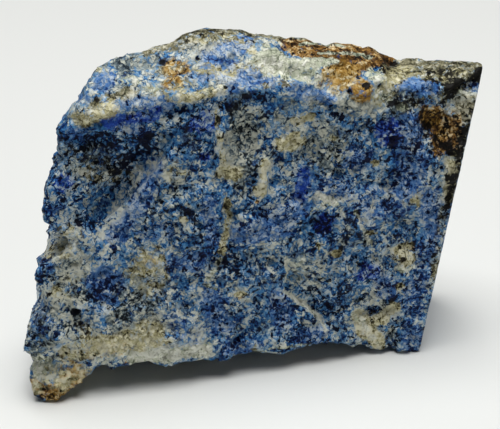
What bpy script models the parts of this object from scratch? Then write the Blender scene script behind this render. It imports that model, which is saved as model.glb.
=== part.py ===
"""Raw lapis lazuli: one broken lump, sawn flat at its right end, standing on its own rough underside.

Run it with blender --background --python part.py, or from Blender's text editor. Named sizes are in
millimetres and become metres through MM. X runs along the front face, -Y is the front and +Z is up.
"""

import math
from typing import NamedTuple

import bmesh
import bpy
import numpy as np
from mathutils import Vector, kdtree, noise

MM = 0.001

# Driving dimensions of the lump. FACE_TURN swings the front face to the right, seen from above.
FACE_TURN = 13.0
FACE_LEAN = 5.0
BLOCK_FRONT = -24.0
BLOCK_BACK = 40.0
TRIANGLES = 7600
BLOCK_VOXEL = 0.8
RELIEF_VOXEL = 0.7

# The lump's outline seen from straight ahead, as (x, z), clockwise from the sawn end's lower corner.
OUTLINE = (
    (35.2, -0.6),
    (31.0, -0.4),
    (27.0, -0.1),
    (23.0, 1.7),
    (19.5, 3.2),
    (15.2, 4.8),
    (11.0, 4.7),
    (7.0, 3.8),
    (2.0, 4.3),
    (-4.5, 4.2),
    (-9.0, 5.5),
    (-13.5, 5.2),
    (-16.8, 3.7),
    (-21.0, 6.3),
    (-26.0, 6.1),
    (-31.0, 6.8),
    (-31.8, 4.4),
    (-34.2, 3.0),
    (-35.9, 1.3),
    (-38.0, -0.5),
    (-41.8, -0.5),
    (-43.7, 2.4),
    (-43.9, 5.5),
    (-44.0, 9.4),
    (-44.3, 12.6),
    (-43.1, 16.4),
    (-40.2, 20.2),
    (-39.1, 23.6),
    (-41.0, 27.4),
    (-39.8, 30.4),
    (-33.6, 32.6),
    (-33.8, 35.0),
    (-37.0, 38.4),
    (-38.6, 42.2),
    (-37.5, 46.2),
    (-34.4, 48.8),
    (-35.4, 54.5),
    (-34.2, 57.5),
    (-32.2, 60.0),
    (-30.6, 62.3),
    (-28.6, 65.3),
    (-25.4, 67.7),
    (-20.0, 66.4),
    (-15.0, 67.2),
    (-11.0, 69.0),
    (-5.0, 68.2),
    (2.0, 66.6),
    (10.0, 65.2),
    (17.0, 64.0),
    (22.4, 63.3),
    (24.6, 61.6),
    (26.4, 59.2),
    (32.0, 58.7),
    (38.0, 59.2),
    (41.0, 60.6),
    (44.0, 60.2),
    (50.0, 60.8),
    (50.0, -0.6),
)


def facing(turn, lean):
    """The unit direction of a face turned from the front towards +X and tipped up, both in degrees."""
    turn = math.radians(turn)
    lean = math.radians(lean)
    return Vector((math.sin(turn) * math.cos(lean), -math.cos(turn) * math.cos(lean), math.sin(lean)))


# The fracture faces that bound the block, each as a point on it and the way it faces.
FRACTURES = {
    "front": ((0.0, 0.0, 36.0), facing(FACE_TURN, FACE_LEAN)),
    "bevel under the crown": ((1.5, 2.4, 61.2), facing(FACE_TURN + 2.0, 50.0)),
    "left shoulder": ((-34.0, -6.0, 59.0), facing(-35.0, 40.0)),
    "left back": ((-14.0, 14.0, 60.0), facing(211.0, 12.0)),
    "upper back": ((10.0, 18.2, 65.0), facing(178.0, 38.0)),
    "back": ((5.0, 29.5, 30.0), facing(172.0, 4.0)),
    "right back": ((36.0, 27.0, 30.0), facing(150.0, 10.0)),
    "heel back": ((2.0, 26.5, 0.0), facing(176.0, -38.0)),
    "left under": ((-43.0, -4.0, 8.0), facing(235.0, -28.0)),
}

# The sawn end, and the floor that the feet are worn flat on.
SAW_POINT = (40.0, 8.7, 30.9)
SAW_FACING = facing(79.7, -7.3)
FLOOR_POINT = (0.0, 0.0, 0.0)
FLOOR_FACING = Vector((0.0, 0.0, -1.0))
CUTTER_SIZE = 160.0

FRONT, TOP, UNDER, BACK = "front", "top", "under", "back"
# Each side's two coordinates, and the way a surface faces there.
SIDES = {
    FRONT: ((0, 2), Vector((0.0, -1.0, 0.0))),
    TOP: ((0, 1), Vector((0.0, 0.0, 1.0))),
    UNDER: ((0, 1), Vector((0.0, 0.0, -1.0))),
    BACK: ((0, 2), Vector((0.0, 1.0, 0.0))),
}


class Mound(NamedTuple):
    """A smooth rise, or a hollow where height is negative, over an ellipse on one side."""

    side: str
    centre: tuple
    radii: tuple
    turn: float
    height: float


class Ledge(NamedTuple):
    """A step along a line. The surface to the right of the line's run drops, and climbs back over fade."""

    side: str
    line: tuple
    drop: float
    fade: float


class Groove(NamedTuple):
    """A crack along a line."""

    side: str
    line: tuple
    width: float
    depth: float


MOUNDS = {
    "scoop in the upper left": Mound(FRONT, (-27.0, 50.0), (9.5, 7.5), 35.0, -2.2),
    "hollow right of the rib": Mound(FRONT, (-1.5, 54.0), (5.0, 8.0), 0.0, -1.3),
    "rib": Mound(FRONT, (-5.8, 53.5), (1.8, 7.5), -6.0, 1.0),
    "swell below the rib": Mound(FRONT, (-8.0, 36.0), (11.0, 13.0), 0.0, 1.0),
    "pale drop": Mound(FRONT, (2.6, 45.0), (1.8, 4.5), 0.0, 0.7),
    "right panel": Mound(FRONT, (24.0, 36.0), (13.0, 15.0), 10.0, 0.8),
    "dip across the middle": Mound(FRONT, (10.0, 45.0), (14.0, 6.0), 25.0, -0.8),
    "low right chip": Mound(FRONT, (24.0, 8.5), (5.5, 4.0), 30.0, -1.1),
    "right pit": Mound(FRONT, (30.5, 24.6), (2.4, 2.2), 0.0, -0.9),
    "vug under the corner": Mound(FRONT, (36.0, 50.0), (3.6, 5.0), 20.0, -1.4),
    "vug below it": Mound(FRONT, (37.5, 42.0), (2.4, 3.6), 0.0, -0.8),
    "corner boss": Mound(FRONT, (41.5, 52.0), (2.6, 4.5), 0.0, 0.7),
    "dark lobe": Mound(FRONT, (-39.5, 15.5), (6.0, 6.5), 0.0, 1.5),
    "waist over the foot": Mound(FRONT, (-39.0, 8.0), (7.0, 2.6), -8.0, -1.1),
    "toe": Mound(FRONT, (-36.5, 4.2), (5.0, 3.0), 15.0, 1.2),
    "calcite shelf": Mound(FRONT, (-20.0, 10.5), (12.0, 4.0), -6.0, 0.9),
    "hollow left of the shelf": Mound(FRONT, (-29.0, 16.0), (7.0, 4.0), -20.0, -0.9),
    "left bulge": Mound(FRONT, (-37.0, 29.0), (5.0, 6.0), 0.0, 0.9),
    "heel": Mound(UNDER, (2.0, 19.0), (21.0, 12.0), 0.0, 6.4),
    "under hollow left": Mound(UNDER, (-24.0, 4.0), (10.0, 9.0), 0.0, -1.5),
    "crown hollow": Mound(TOP, (-13.0, 8.0), (5.0, 3.5), 20.0, -0.8),
    "crown knob": Mound(TOP, (22.0, 12.5), (4.0, 3.0), 0.0, 0.7),
    "upper back hollow": Mound(BACK, (-4.0, 50.0), (12.0, 8.0), -20.0, -2.0),
    "lower back swell": Mound(BACK, (16.0, 22.0), (14.0, 12.0), 0.0, 1.4),
    "back scoop": Mound(BACK, (24.0, 44.0), (9.0, 7.0), 30.0, -1.8),
    "left back scoop": Mound(BACK, (-24.0, 28.0), (8.0, 11.0), 10.0, -1.8),
}

LEDGES = {
    "diagonal brow": Ledge(FRONT, ((-14.5, 53.5), (-18.5, 47.0), (-23.0, 42.0), (-28.5, 37.5)), 1.5, 9.0),
    "flake scar": Ledge(
        FRONT, ((16.0, 8.0), (14.5, 11.5), (11.5, 14.5), (8.4, 16.6), (7.4, 19.0), (7.6, 25.5)), 0.8, 6.0
    ),
    "chip lip": Ledge(FRONT, ((27.0, 15.5), (24.0, 14.0), (20.8, 13.8), (22.0, 10.0), (26.0, 6.0)), 0.7, 5.0),
    "calcite edge": Ledge(FRONT, ((-9.0, 10.0), (-14.0, 11.5), (-20.0, 14.0), (-27.0, 13.0)), -0.5, 5.0),
    "upper left break": Ledge(FRONT, ((-33.0, 57.5), (-27.0, 58.0), (-21.0, 60.0)), -0.6, 5.0),
    "back step": Ledge(BACK, ((-16.0, 16.0), (-2.0, 30.0), (4.0, 46.0), (16.0, 54.0)), 1.8, 14.0),
    "low back step": Ledge(BACK, ((36.0, 12.0), (22.0, 18.0), (8.0, 12.0)), 1.4, 10.0),
    "left back step": Ledge(BACK, ((-34.0, 20.0), (-26.0, 38.0), (-24.0, 54.0)), 1.2, 8.0),
    "crown terrace": Ledge(TOP, ((40.0, 15.5), (28.0, 15.0), (14.0, 13.5), (2.0, 13.0)), -0.7, 3.0),
    "lower terrace": Ledge(TOP, ((34.0, 12.8), (22.0, 10.8), (8.0, 9.6)), -0.7, 3.0),
}

GROOVES = {
    "corner crack": Groove(TOP, ((44.5, 12.6), (40.5, 11.0), (36.0, 9.6)), 1.5, 1.8),
    "under the lobe": Groove(FRONT, ((-43.5, 9.9), (-40.0, 9.4), (-36.5, 10.4)), 1.2, 1.0),
    "rust seam": Groove(TOP, ((6.0, 11.4), (16.0, 12.0), (28.0, 14.0)), 1.1, 0.6),
    "back seam": Groove(BACK, ((-20.0, 56.0), (-4.0, 40.0), (14.0, 34.0), (30.0, 30.0)), 1.4, 0.9),
}

SWELL = {"wavelength": 21.0, "height": 0.9}
LUMPS = {"wavelength": 6.5, "height": 0.45}
# Fracture facets: every cell is a small tilted plane, so cells meet at low steps and edges.
FACETS = (
    {"seed": 5, "spacing": 9.0, "step": 0.45, "tilt": 0.11},
    {"seed": 8, "spacing": 4.2, "step": 0.22, "tilt": 0.13},
)
FACET_REACH = 80.0


def clear_scene():
    for obj in list(bpy.data.objects):
        bpy.data.objects.remove(obj, do_unlink=True)


def collection(name):
    made = bpy.data.collections.new(name)
    bpy.context.scene.collection.children.link(made)
    return made


def evaluated_mesh(obj):
    graph = bpy.context.evaluated_depsgraph_get()
    graph.update()
    return bpy.data.meshes.new_from_object(obj.evaluated_get(graph), depsgraph=graph)


def outline_block():
    """The outline filled and run from front to back, as a closed mesh in world space."""
    curve = bpy.data.curves.new("outline", "CURVE")
    curve.dimensions = "2D"
    curve.fill_mode = "BOTH"
    curve.extrude = (BLOCK_BACK - BLOCK_FRONT) / 2 * MM
    spline = curve.splines.new("POLY")
    spline.points.add(len(OUTLINE) - 1)
    for point, (x, z) in zip(spline.points, OUTLINE):
        point.co = (x * MM, z * MM, 0.0, 1.0)
    spline.use_cyclic_u = True
    guide = bpy.data.objects.new("outline", curve)
    bpy.context.scene.collection.objects.link(guide)
    guide.rotation_euler = (math.radians(90), 0.0, 0.0)
    guide.location.y = (BLOCK_BACK + BLOCK_FRONT) / 2 * MM
    block = bmesh.new()
    mesh = evaluated_mesh(guide)
    mesh.transform(guide.evaluated_get(bpy.context.evaluated_depsgraph_get()).matrix_world)
    block.from_mesh(mesh)
    bmesh.ops.remove_doubles(block, verts=block.verts, dist=0.01 * MM)
    bmesh.ops.recalc_face_normals(block, faces=block.faces)
    bpy.data.meshes.remove(mesh)
    bpy.data.objects.remove(guide)
    return block


def break_off(block, point, direction):
    """Cuts away what lies beyond a fracture face, and closes the cut."""
    geometry = block.verts[:] + block.edges[:] + block.faces[:]
    bmesh.ops.bisect_plane(
        block, geom=geometry, plane_co=Vector(point) * MM, plane_no=direction, clear_outer=True, dist=1e-6
    )
    open_edges = [edge for edge in block.edges if edge.is_boundary]
    bmesh.ops.holes_fill(block, edges=open_edges, sides=0)


def smoothstep(values):
    values = np.clip(values, 0.0, 1.0)
    return values * values * (3.0 - 2.0 * values)


def on_side(points, normals, side):
    """Each point's two coordinates on a side, and how much its surface faces that way."""
    axes, outward = SIDES[side]
    share = smoothstep((normals @ np.array(outward) - 0.15) / 0.35)
    return points[:, axes], share


def mound_height(points, normals, mound):
    flat, share = on_side(points, normals, mound.side)
    turn = math.radians(mound.turn)
    away = flat - np.array(mound.centre)
    along = away @ np.array((math.cos(turn), math.sin(turn))) / mound.radii[0]
    across = away @ np.array((-math.sin(turn), math.cos(turn))) / mound.radii[1]
    rise = np.clip(1.0 - along**2 - across**2, 0.0, 1.0) ** 1.5
    return mound.height * rise * share


def distance_to_line(flat, line):
    """Distance to a line of points, positive to the right of its run, and the share of its length passed."""
    nearest = np.full(len(flat), np.inf)
    signed = np.zeros(len(flat))
    passed = np.zeros(len(flat))
    corners = [np.array(corner) for corner in line]
    for index, (start, end) in enumerate(zip(corners, corners[1:])):
        run = end - start
        share = np.clip((flat - start) @ run / (run @ run), 0.0, 1.0)
        away = flat - start - share[:, None] * run
        distance = np.hypot(away[:, 0], away[:, 1])
        side = np.sign(away[:, 0] * run[1] - away[:, 1] * run[0])
        closer = distance < nearest
        nearest[closer] = distance[closer]
        signed[closer] = (distance * side)[closer]
        passed[closer] = ((index + share) / (len(corners) - 1))[closer]
    return signed, passed


def ledge_height(points, normals, ledge):
    flat, share = on_side(points, normals, ledge.side)
    signed, passed = distance_to_line(flat, ledge.line)
    step = smoothstep((signed + 0.4) / 0.8) * np.clip(1.0 - signed / ledge.fade, 0.0, 1.0) ** 1.5
    ends = smoothstep(passed / 0.12) * smoothstep((1.0 - passed) / 0.12)
    return -ledge.drop * step * ends * share


def groove_height(points, normals, groove):
    flat, share = on_side(points, normals, groove.side)
    signed, passed = distance_to_line(flat, groove.line)
    cut = np.clip(1.0 - (signed / groove.width) ** 2, 0.0, 1.0)
    ends = smoothstep(passed / 0.1 + 0.3) * smoothstep((1.0 - passed) / 0.2)
    return -groove.depth * cut * ends * share


def noise_height(points, wavelength, height):
    return height * np.array([noise.noise(Vector(point) / wavelength) for point in points])


def facet_height(points, seed, spacing, step, tilt):
    """The height of the tilted plane that belongs to the nearest of a jittered grid of cells."""
    random = np.random.default_rng(seed)
    ticks = np.arange(-FACET_REACH, FACET_REACH, spacing)
    grid = np.meshgrid(ticks, ticks, ticks, indexing="ij")
    centres = np.stack([axis.ravel() for axis in grid], axis=1)
    centres += random.uniform(-0.5, 0.5, centres.shape) * spacing
    steps = random.uniform(-step, step, len(centres))
    tilts = random.uniform(-tilt, tilt, centres.shape)
    tree = kdtree.KDTree(len(centres))
    for index, centre in enumerate(centres):
        tree.insert(Vector(centre), index)
    tree.balance()
    cells = np.array([tree.find(Vector(point))[1] for point in points])
    return steps[cells] + ((points - centres[cells]) * tilts[cells]).sum(axis=1)


def carve(mesh):
    """Moves each point of the block along its normal, by the named forms and the fracture texture."""
    points = np.array([vertex.co for vertex in mesh.vertices]) / MM
    normals = np.array([vertex.normal for vertex in mesh.vertices])
    height = noise_height(points, **SWELL) + noise_height(points, **LUMPS)
    for facets in FACETS:
        height += facet_height(points, **facets)
    for mound in MOUNDS.values():
        height += mound_height(points, normals, mound)
    for ledge in LEDGES.values():
        height += ledge_height(points, normals, ledge)
    for groove in GROOVES.values():
        height += groove_height(points, normals, groove)
    moved = (points + normals * height[:, None]) * MM
    mesh.vertices.foreach_set("co", moved.ravel())
    mesh.update()


def remesh(obj, voxel, smoothing):
    modifier = obj.modifiers.new("even skin", "REMESH")
    modifier.mode = "VOXEL"
    modifier.voxel_size = voxel * MM
    if smoothing:
        soften = obj.modifiers.new("soften", "SMOOTH")
        soften.factor = 0.5
        soften.iterations = smoothing


def flat_cutter(name, point, direction, cutters):
    """A cube whose near face lies on a plane, so that a difference with it leaves that plane flat."""
    bpy.ops.mesh.primitive_cube_add(size=CUTTER_SIZE * MM)
    cutter = bpy.context.object
    cutter.name = name
    cutter.rotation_mode = "QUATERNION"
    cutter.rotation_quaternion = direction.to_track_quat("Z", "Y")
    cutter.location = Vector(point) * MM + direction * CUTTER_SIZE / 2 * MM
    cutter.hide_render = True
    cutter.display_type = "WIRE"
    for home in cutter.users_collection:
        home.objects.unlink(cutter)
    cutters.objects.link(cutter)
    return cutter


def cut_flat(obj, cutter):
    modifier = obj.modifiers.new(cutter.name, "BOOLEAN")
    modifier.operation = "DIFFERENCE"
    modifier.solver = "EXACT"
    modifier.object = cutter


def stone_material():
    material = bpy.data.materials.new("lapis lazuli")
    material.use_nodes = True
    shader = material.node_tree.nodes["Principled BSDF"]
    shader.inputs["Base Color"].default_value = (0.085, 0.125, 0.2, 1.0)
    shader.inputs["Roughness"].default_value = 0.62
    shader.inputs["Metallic"].default_value = 0.0
    return material


def rough_block(parts):
    """The outline block broken to its faces and given an even skin to carve."""
    block = outline_block()
    for point, direction in FRACTURES.values():
        break_off(block, point, direction)
    bmesh.ops.triangulate(block, faces=block.faces)
    mesh = bpy.data.meshes.new("block")
    block.to_mesh(mesh)
    block.free()
    obj = bpy.data.objects.new("block", mesh)
    parts.objects.link(obj)
    remesh(obj, BLOCK_VOXEL, 3)
    return obj


def make_stone():
    parts = collection("raw lapis lazuli")
    cutters = collection("cutters")
    cutters.hide_render = True
    block = rough_block(parts)
    mesh = evaluated_mesh(block)
    bpy.data.objects.remove(block)
    carve(mesh)
    stone = bpy.data.objects.new("lapis_lazuli", mesh)
    parts.objects.link(stone)
    remesh(stone, RELIEF_VOXEL, 0)
    thin = stone.modifiers.new("fewer faces", "DECIMATE")
    thin.ratio = TRIANGLES / (2.0 * len(evaluated_mesh(stone).polygons))
    cut_flat(stone, flat_cutter("saw", SAW_POINT, SAW_FACING, cutters))
    cut_flat(stone, flat_cutter("floor", FLOOR_POINT, FLOOR_FACING, cutters))
    finished = evaluated_mesh(stone)
    stone.modifiers.clear()
    stone.data = finished
    corners = np.array([vertex.co for vertex in finished.vertices])
    low, high = corners.min(axis=0), corners.max(axis=0)
    middle = (low + high) / 2
    for vertex in finished.vertices:
        vertex.co -= Vector((middle[0], middle[1], low[2]))
    stone.data.materials.clear()
    stone.data.materials.append(stone_material())


clear_scene()
make_stone()
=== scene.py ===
"""The looks of a raw lump of lapis lazuli: its fine broken skin, its minerals, a pale floor and soft light.

Sizes are in millimetres and become metres through MM. A place given as a pixel is where that thing shows in
the 500 x 429 photograph, and the photograph's own camera carries it onto the stone.
"""

import math
from typing import NamedTuple

import bmesh
import bpy
import numpy as np
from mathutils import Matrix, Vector, kdtree, noise


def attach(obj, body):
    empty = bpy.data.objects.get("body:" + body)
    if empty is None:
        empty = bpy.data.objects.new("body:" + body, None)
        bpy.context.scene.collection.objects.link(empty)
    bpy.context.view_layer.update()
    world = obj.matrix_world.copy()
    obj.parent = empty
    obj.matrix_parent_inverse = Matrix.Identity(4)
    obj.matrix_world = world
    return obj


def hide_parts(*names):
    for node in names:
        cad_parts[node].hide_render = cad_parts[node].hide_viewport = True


MM = 0.001

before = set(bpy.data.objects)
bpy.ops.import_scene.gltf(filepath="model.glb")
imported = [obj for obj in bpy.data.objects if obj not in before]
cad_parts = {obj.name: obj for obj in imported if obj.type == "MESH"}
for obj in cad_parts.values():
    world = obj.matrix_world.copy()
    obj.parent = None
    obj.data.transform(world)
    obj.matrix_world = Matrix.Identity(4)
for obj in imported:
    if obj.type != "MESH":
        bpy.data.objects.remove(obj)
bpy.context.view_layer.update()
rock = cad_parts["lapis_lazuli"]

# The photograph's camera: its picture in pixels, how high it looks from and what it looks at.
PHOTO = (500, 429)
LENS = 100.0
SENSOR = 36.0
ELEVATION = math.radians(30.0)
DISTANCE = 267.5
AIM = np.array((-0.51, -9.81, 36.0))
RIGHT = np.array((1.0, 0.0, 0.0))
FORWARD = np.array((0.0, math.cos(ELEVATION), -math.sin(ELEVATION)))
UP = np.cross(RIGHT, FORWARD)
EYE = AIM - DISTANCE * FORWARD
PIXELS_ACROSS = LENS / SENSOR * PHOTO[0]
PIXEL = DISTANCE / PIXELS_ACROSS

# The saw cut. It and the flats on the floor stay flat, and the relief fades over a reach from them.
SAW_POINT = np.array((39.77, 5.81, 23.37))
SAW_FACING = np.array((0.97591, -0.177353, -0.127065))
FLAT_REACH = 0.7

SKIN_VOXEL = 0.48
EASE_ROUNDS = 2


class Spot(NamedTuple):
    """An oval patch: its middle's pixel, half sizes in millimetres, strength and turn in degrees."""

    x: float
    y: float
    wide: float
    high: float
    share: float
    turn: float = 0.0


class Band(NamedTuple):
    """A patch along a line of pixels, with its half width in millimetres."""

    line: tuple
    width: float
    share: float


# Lines of pixels that more than one patch follows.
SCAR = ((286, 258), (287, 276), (286, 291), (293, 298), (308, 307), (320, 318), (325, 330))
DROP = ((303, 173), (301, 196))
BROW = ((108, 122), (128, 119), (154, 114))
STEEL = ((164, 320), (198, 338))
LEFT_PATCH = ((80, 120), (94, 116), (112, 108))
CHIP = ((361, 318), (368, 330), (377, 342))
CHIP_RIGHT = ((368, 324), (384, 317), (396, 307))
CRESCENT = ((356, 211), (363, 228), (372, 246))
STREAK = ((319, 196), (334, 203))

# Where each mineral shows, by the part of the grains that it makes up. A share under 0 takes some away. The
# dark and light places tell how dark or light the grains are, and also hold painted shade and painted light;
# CALM tells how alike.
VIVID = {
    "left rim": Spot(103, 86, 1.7, 1, 0.94, 15),
    "under rim": Band(((208, 60), (226, 50), (244, 43)), 1.9, 0.9),
    "bevel, high": Spot(222, 68, 3.4, 2, 0.9, 20),
    "by ochre": Spot(166, 108, 2.4, 1.6, 0.76),
    "bevel, right": Band(((232, 82), (246, 77), (268, 76)), 2.2, 1),
    "bevel, far right": Band(((294, 91), (306, 93), (328, 97)), 1.4, 1),
    "bevel, left": Spot(104, 80, 2.6, 2.2, 0.85, 15),
    "bevel, middle": Spot(200, 76, 2.6, 1.6, 0.6),
    "bevel, below white": Spot(285, 84, 2.4, 0.8, 0.3),
    "under bevel": Band(((106, 106), (130, 103), (162, 100)), 1.3, 0.8),
    "under crown": Spot(268, 66, 2.6, 1.2, 0.7, -10),
    "slab": Band(((400, 86), (434, 89)), 1.6, 1),
    "corner": Spot(474, 87, 1.4, 1.2, 0.82),
    "right panel": Band(((410, 122), (412, 150), (408, 185)), 3, 0.91),
    "right panel, left": Spot(357, 160, 3.4, 3.2, 0.88),
    "right of drop": Spot(286, 212, 6, 3.2, 0.73, 8),
    "over scar": Band(((240, 236), (262, 228), (284, 224)), 2.4, 0.95),
    "over pit": Spot(378, 205, 6.5, 4, 0.7),
    "right strip": Band(((432, 225), (424, 262), (414, 300), (412, 345)), 2.2, 0.76),
    "under scar": Band(((278, 300), (285, 325)), 2.2, 0.88),
    "lower edge": Band(((300, 338), (322, 332)), 1.6, 0.94),
    "by lower edge": Spot(240, 347, 5, 1.6, 0.82, 8),
    "low middle": Band(((212, 300), (222, 325)), 2.6, 0.94),
    "by calcite": Spot(120, 325, 1.8, 1.2, 0.3),
    "left of streak": Band(((208, 208), (212, 240)), 1.7, 0.94),
    "low centre": Spot(190, 262, 5.5, 2.2, 0.85, 5),
    "lit band": Band(((156, 172), (136, 206), (116, 236)), 2, 0.9),
    "lower left": Spot(107, 286, 4, 4, 1, 15),
    "left edge": Spot(55, 210, 2.2, 1.6, 0.7),
    "above scoop": Spot(75, 133, 3, 1.3, 0.82, -5),
    "by brow": Spot(135, 130, 4.5, 1.5, 0.88, -10),
    "mid left": Spot(155, 232, 4.5, 2.5, 0.7),
    "far right": Spot(430, 206, 2.2, 3.6, 0.9),
    "bevel, far left": Spot(84, 98, 1.8, 1.4, 0.6, 30),
    "right of middle": Spot(330, 188, 5, 2.6, 0.7),
    "low right": Spot(386, 286, 3, 3.4, 0.8),
    "low left edge": Spot(46, 262, 1.8, 3, 0.6),
    "lobe": Spot(44, 318, 2.6, 3.6, 0.45),
    "ultramarine drop": Band(DROP, 1.8, 1),
    "steel field": Band(STEEL, 2.2, 0.5),
}

DEEP = {
    "ultramarine band": Band(BROW, 1.6, 1),
    "blue left of rib": Spot(202, 124, 2.8, 2.2, 0.9, 20),
    "deep spot by rib": Spot(204, 157, 1.3, 1.1, 1),
    "dark blue under vug": Spot(388, 133, 2.4, 3, 1, 10),
    "ultramarine drop": Band(DROP, 1.3, 1.2),
    "navy by scar": Spot(325, 226, 2, 2.3, 0.9),
    "blue right of scar": Spot(369, 272, 2.7, 2, 0.9),
    "lower left blue": Spot(107, 288, 2.6, 2.4, 0.35, 15),
    "navy left": Spot(66, 184, 2.2, 1.9, 0.8),
}

GREY = {
    "upper middle": Spot(300, 118, 11, 4.5, 0.55),
    "right of rib": Spot(242, 148, 3.8, 9, 0.95),
    "under cream": Spot(325, 152, 5.5, 4.5, 0.7),
    "left face": Spot(88, 165, 7.5, 5, 0.6, -20),
    "left edge": Spot(70, 236, 4, 3.4, 0.5),
    "lower left": Spot(70, 285, 5, 7, 0.75),
    "lower left, right": Spot(135, 305, 6, 5, 0.7),
    "lobe, light": Spot(44, 335, 3.6, 6, 0.5),
    "left of scar": Spot(262, 262, 4, 5, 0.4),
    "inside scar": Spot(312, 275, 5, 4, 0.6),
    "over pit": Spot(352, 240, 6, 2.5, 0.5),
    "over chip": Spot(368, 303, 4.5, 2.4, 0.6),
    "between blue and beige": Spot(180, 195, 7, 5, 0.45),
    "corner": Spot(460, 104, 3, 3, 0.95),
    "under slab": Spot(404, 102, 4.2, 2.6, 0.85),
    "dark edge": Spot(445, 190, 2.2, 7.5, 0.7, -15),
    "lobe": Spot(44, 335, 3.6, 5, 0.4),
    "left shoulder": Spot(130, 62, 6.5, 1.8, 0.7, 15),
    "left bevel": Band(((92, 104), (130, 84), (190, 70), (216, 66)), 5, 0.45),
    "bevel": Band(((210, 62), (290, 78), (345, 92)), 4.5, 0.4),
    "by lower edge": Spot(340, 330, 2.5, 2.2, 0.5),
    "mid left": Spot(140, 280, 5, 6, 0.4),
    "by calcite": Spot(122, 322, 3, 2, 0.7),
    "right bevel, low": Band(((346, 102), (362, 107), (376, 109)), 1.8, 0.8),
    "corner, upper": Spot(462, 76, 2, 1.2, 0.7, 30),
    "steel field": Band(STEEL, 2.2, 0.6),
    "inside chip": Spot(388, 332, 1.6, 1.4, 0.7),
    "foot, left": Spot(36, 368, 2, 3, 0.7),
    "by big pit": Spot(78, 328, 4, 2.2, 0.7, 10),
}

OLIVE = {
    "rim": Band(((146, 51), (172, 42), (200, 32), (250, 32), (285, 38), (330, 42), (372, 48)), 0.9, 0.9),
    "rim, left": Spot(185, 45, 4.5, 1, 0.8, 15),
    "right top": Band(((384, 60), (420, 62), (462, 62), (480, 64)), 1.4, 0.95),
    "right top, lower": Spot(425, 69, 6, 1, 0.6),
    "by cream patch": Band(((88, 112), (108, 98), (132, 92)), 1.3, 0.8),
    "stain surround": Spot(174, 76, 4.2, 3.4, 0.75, -20),
    "left shoulder edge": Spot(82, 108, 2.2, 2.6, 0.5),
    "in scoop": Spot(108, 174, 6.5, 3.8, 0.6, -15),
    "right of rib": Spot(238, 150, 3.2, 8, 0.15),
    "corner knob": Spot(455, 72, 2.4, 1.2, 0.7),
    "dark edge": Band(((452, 170), (440, 232), (434, 275)), 1.2, 0.7),
    "over calcite": Spot(98, 346, 2.8, 1.6, 0.75, 15),
    "foot": Spot(44, 388, 3, 1.6, 0.6),
    "low left": Spot(60, 240, 3, 2.5, 0.4),
    "beige field": Spot(150, 265, 3.6, 4, 0.4),
    "shelf top": Band(((100, 340), (140, 336), (180, 338)), 1.2, 0.45),
    "right edge": Band(((464, 112), (458, 150), (450, 196)), 1.7, 0.85),
    "corner crack": Band(((444, 92), (462, 80), (480, 73)), 1.6, 0.9),
    "rust surround": Spot(434, 128, 6, 6.5, 0.65),
    "under slab": Spot(404, 101, 3.6, 1.8, 0.6),
    "corner": Spot(468, 104, 2.4, 4, 0.5),
    "over slab": Band(((388, 72), (420, 76), (452, 76)), 1.5, 0.95),
    "by foot": Band(((62, 356), (82, 352), (96, 348)), 1.8, 0.7),
}

RUST = {
    "crown layers": Band(((288, 45), (330, 48), (388, 57)), 1.6, 1),
    "over hanging stain": Spot(356, 66, 4, 1.2, 0.9),
    "vug, wide": Spot(442, 128, 4.4, 5, 0.42),
    "red layer": Band(((314, 56), (330, 57), (352, 61), (376, 63)), 0.8, 0.9),
    "vug": Band(((426, 112), (434, 119), (448, 127)), 1.8, 0.95),
    "vug, lower": Spot(446, 130, 2.6, 2.6, 0.9),
    "below vug": Spot(440, 145, 1.8, 3, 0.8, -10),
    "right edge": Band(((460, 118), (455, 150)), 1.2, 0.5),
    "under toe": Band(((32, 384), (44, 394), (56, 392)), 1.3, 0.9),
    "speck under drop": Spot(257, 202, 0.6, 0.5, 1),
    "pale red line": Spot(240, 297, 1.2, 0.5, 0.6, 15),
    "toe, dark": Spot(54, 390, 2.2, 1.4, 0.7),
    "left beige": Spot(76, 232, 2.4, 1.5, 0.3, 10),
    "hanging stain": Spot(336, 68, 2.6, 1.2, 0.8, 20),
    "crown layer, middle": Band(((300, 51), (328, 54), (350, 57)), 1.3, 0.9),
}

OCHRE = {
    "upper left stain": Spot(178, 66, 3.2, 1.8, 0.6, -10),
    "upper left stain, lower": Spot(172, 82, 2.4, 2.4, 0.6, -30),
    "hanging stain": Spot(342, 75, 4.6, 2.6, 1, 25),
    "golden spot": Spot(361, 91, 2.4, 2.2, 0.85),
    "toe": Band(((52, 398), (64, 392), (78, 380)), 1.5, 1),
    "shelf, left": Spot(120, 343, 3.6, 2.6, 0.85, 20),
    "foot": Spot(72, 378, 3.6, 2, 1, 12),
    "vug": Spot(432, 121, 2.4, 1.8, 0.7, 15),
    "vug, low": Spot(444, 136, 1.6, 1.6, 0.6),
    "shelf edge": Spot(131, 361, 1.8, 0.6, 0.6, 10),
    "beige field": Spot(150, 262, 1.6, 1.2, 0.6),
    "pit rim": Spot(412, 246, 1, 1.2, 0.5, 30),
    "left beige": Spot(70, 229, 2.4, 1.5, 0.25, 10),
    "by foot": Band(((66, 362), (84, 354), (104, 348)), 1.6, 0.5),
}

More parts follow.
